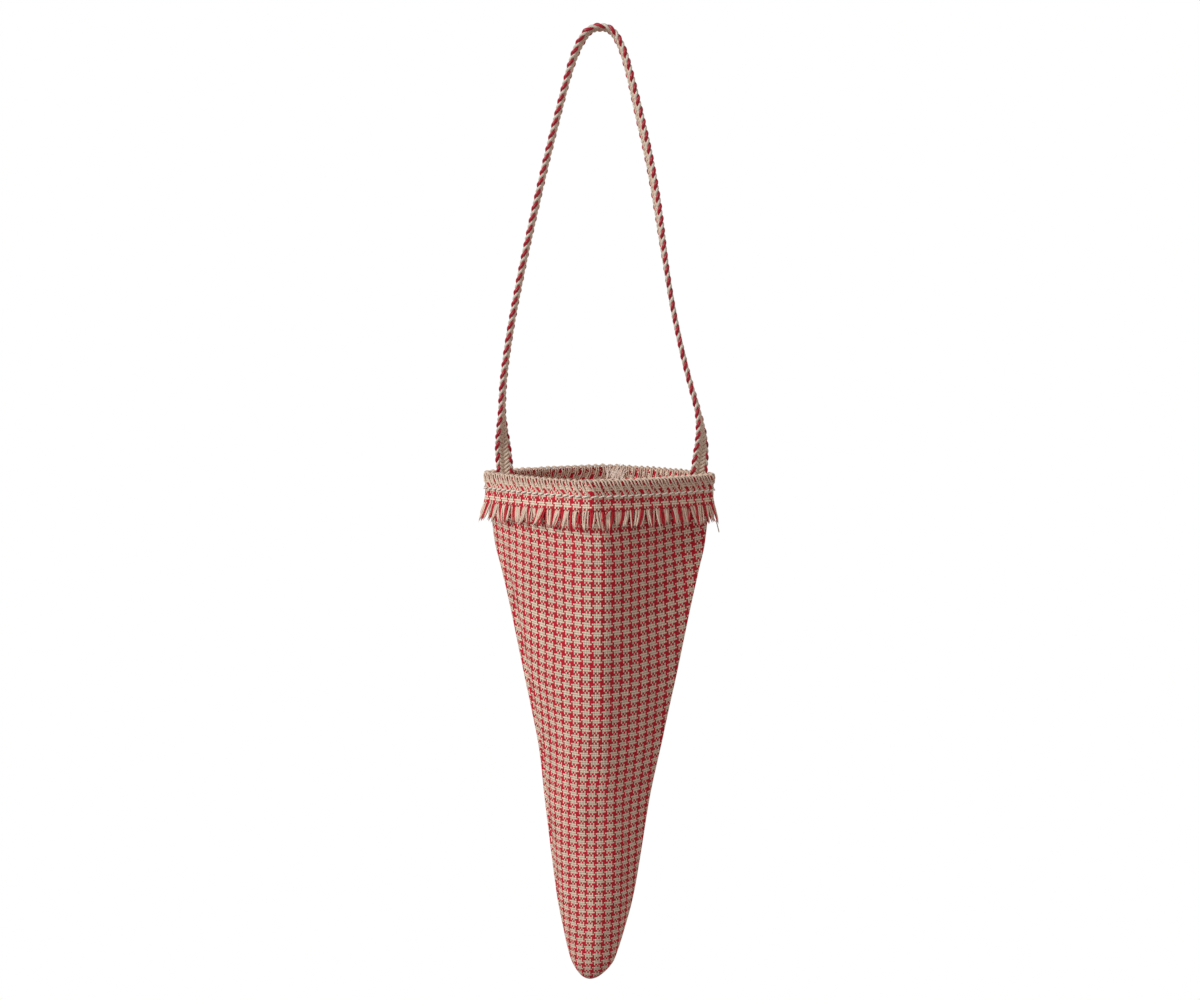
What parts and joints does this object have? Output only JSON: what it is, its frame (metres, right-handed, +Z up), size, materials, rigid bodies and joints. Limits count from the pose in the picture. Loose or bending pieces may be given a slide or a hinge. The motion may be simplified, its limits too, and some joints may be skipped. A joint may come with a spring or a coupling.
{
  "type": "hanging cone treat bag",
  "caption": "Small open cone bag of checked cotton with an overlocked rim, a fringed cuff and a plaited hanging strap.",
  "frame": {"origin": "underside of the strap's arch, where a hook carries it, on the strap's own middle plane", "axes": "+Z up along the bag, +X to the right as the front is faced, front looks along -Y"},
  "size_m": [0.0859, 0.0668, 0.3345],
  "materials": {
    "gingham": "plain-weave cotton gingham, small red and natural checks",
    "braid": "plaited natural cotton braid, herringbone",
    "lip_cord": "two-ply twisted cord, glossy red and cream",
    "sewing_thread": "cream sewing thread",
    "overlock_thread": "soft natural overlock thread",
    "fringe_yarn": "loosened red and natural cotton yarns",
    "frayed_natural": "frayed natural cotton yarns",
    "red_yarn": "red cotton yarn",
    "natural_yarn": "natural cotton yarn"
  },
  "bodies": {
    "strap": {"strap_braid_core": "braid", "strap_lip_cord_front": "lip_cord", "strap_lip_cord_back": "lip_cord"},
    "sack": {"strap_end_left": "braid", "strap_end_right": "braid", "strap_tack_left": "sewing_thread", "strap_tack_right": "sewing_thread", "cone_cloth": "gingham", "back_seam_allowance": "gingham", "back_seam_overlock": "overlock_thread", "cuff_band": "gingham", "cuff_fringe": "fringe_yarn", "rim_overlock": "overlock_thread", "rim_needle_thread": "sewing_thread", "rim_inner_needle_thread": "sewing_thread", "seam_tuft": "frayed_natural", "loose_thread_red": "red_yarn", "loose_thread_natural": "natural_yarn"}
  },
  "joints": [
    {"name": "sack_swing", "type": "hinge", "parent": "strap", "child": "sack", "pos_m": [0, 0, -0.151], "axis": [1, 0, 0], "range_deg": [-90, 90]}
  ]
}
